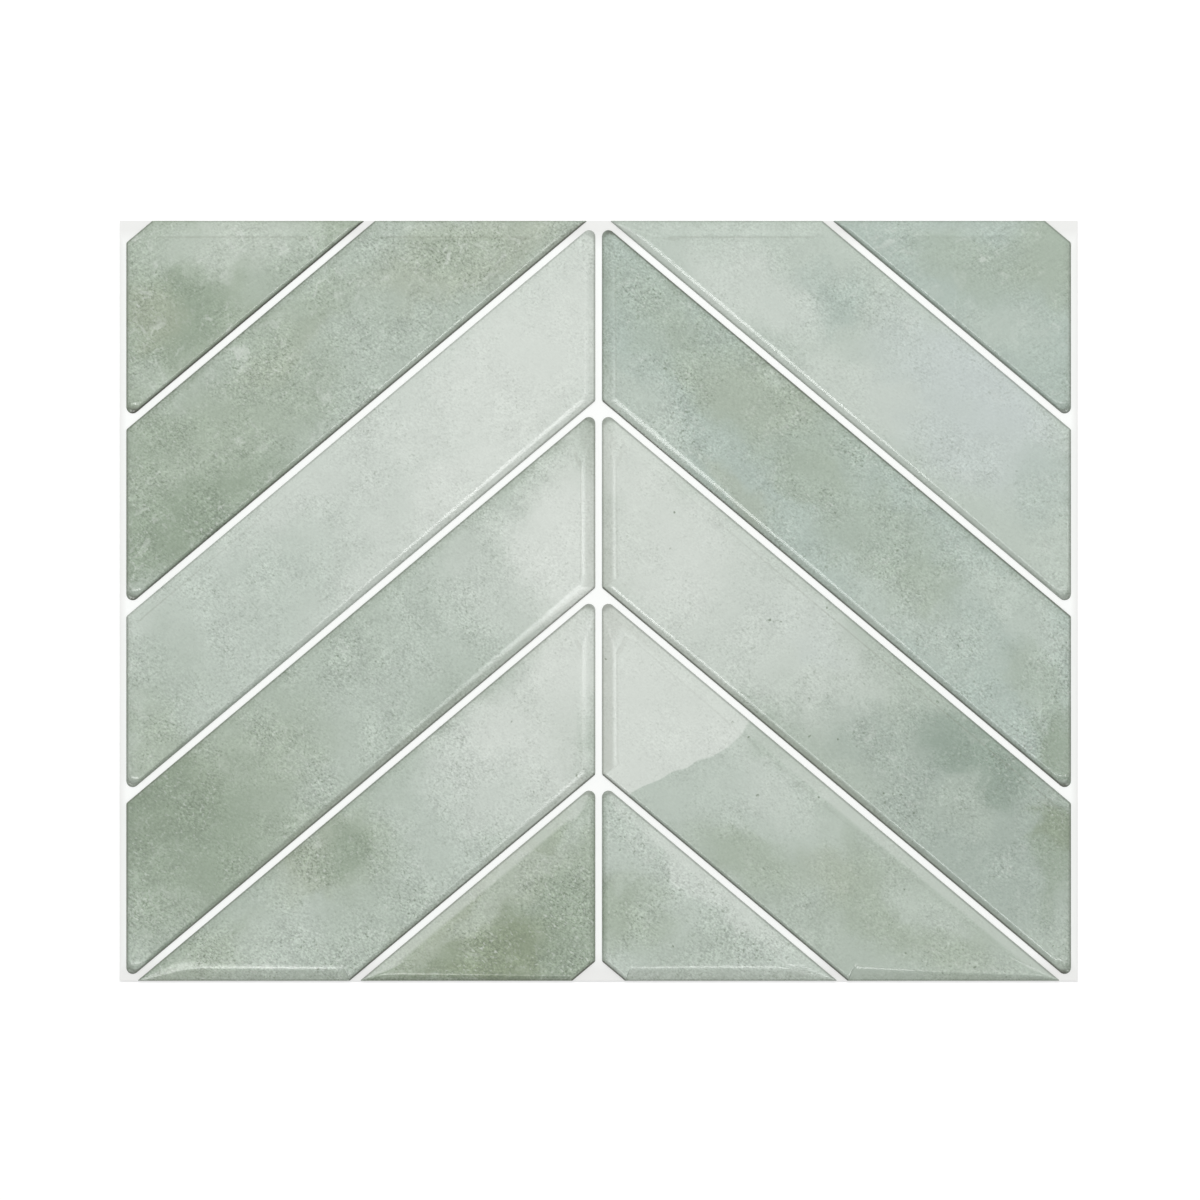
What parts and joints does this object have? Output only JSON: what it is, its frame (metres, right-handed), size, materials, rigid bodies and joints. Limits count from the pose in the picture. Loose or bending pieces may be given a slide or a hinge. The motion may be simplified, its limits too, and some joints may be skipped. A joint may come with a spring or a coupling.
{
  "type": "self-adhesive wall panel",
  "caption": "Thin self-adhesive wall sheet: domed, glossy sage gel tiles in a mirrored chevron on a white film, stuck flat to a wall as a splashback.",
  "frame": {"origin": "centre of the adhesive back", "axes": "+X across the sheet's width, +Y up the wall, the way the chevron points, +Z out of the wall, towards the room"},
  "size_m": [0.3, 0.238, 0.002],
  "materials": {
    "white_film": "satin",
    "gel_pale_sage": "gloss",
    "gel_light_sage": "gloss",
    "gel_mid_sage": "gloss",
    "gel_deep_sage": "gloss"
  },
  "bodies": {
    "root": {"base_sheet": "white_film", "gel_tile_left_upper_3": "gel_mid_sage", "gel_tile_left_upper_2": "gel_mid_sage", "gel_tile_left_upper_1": "gel_pale_sage", "gel_tile_left_lower_1": "gel_deep_sage", "gel_tile_left_lower_2": "gel_light_sage", "gel_tile_left_lower_3": "gel_deep_sage", "gel_tile_right_upper_3": "gel_mid_sage", "gel_tile_right_upper_2": "gel_light_sage", "gel_tile_right_upper_1": "gel_deep_sage", "gel_tile_right_lower_1": "gel_light_sage", "gel_tile_right_lower_2": "gel_mid_sage", "gel_tile_right_lower_3": "gel_light_sage"}
  },
  "joints": []
}
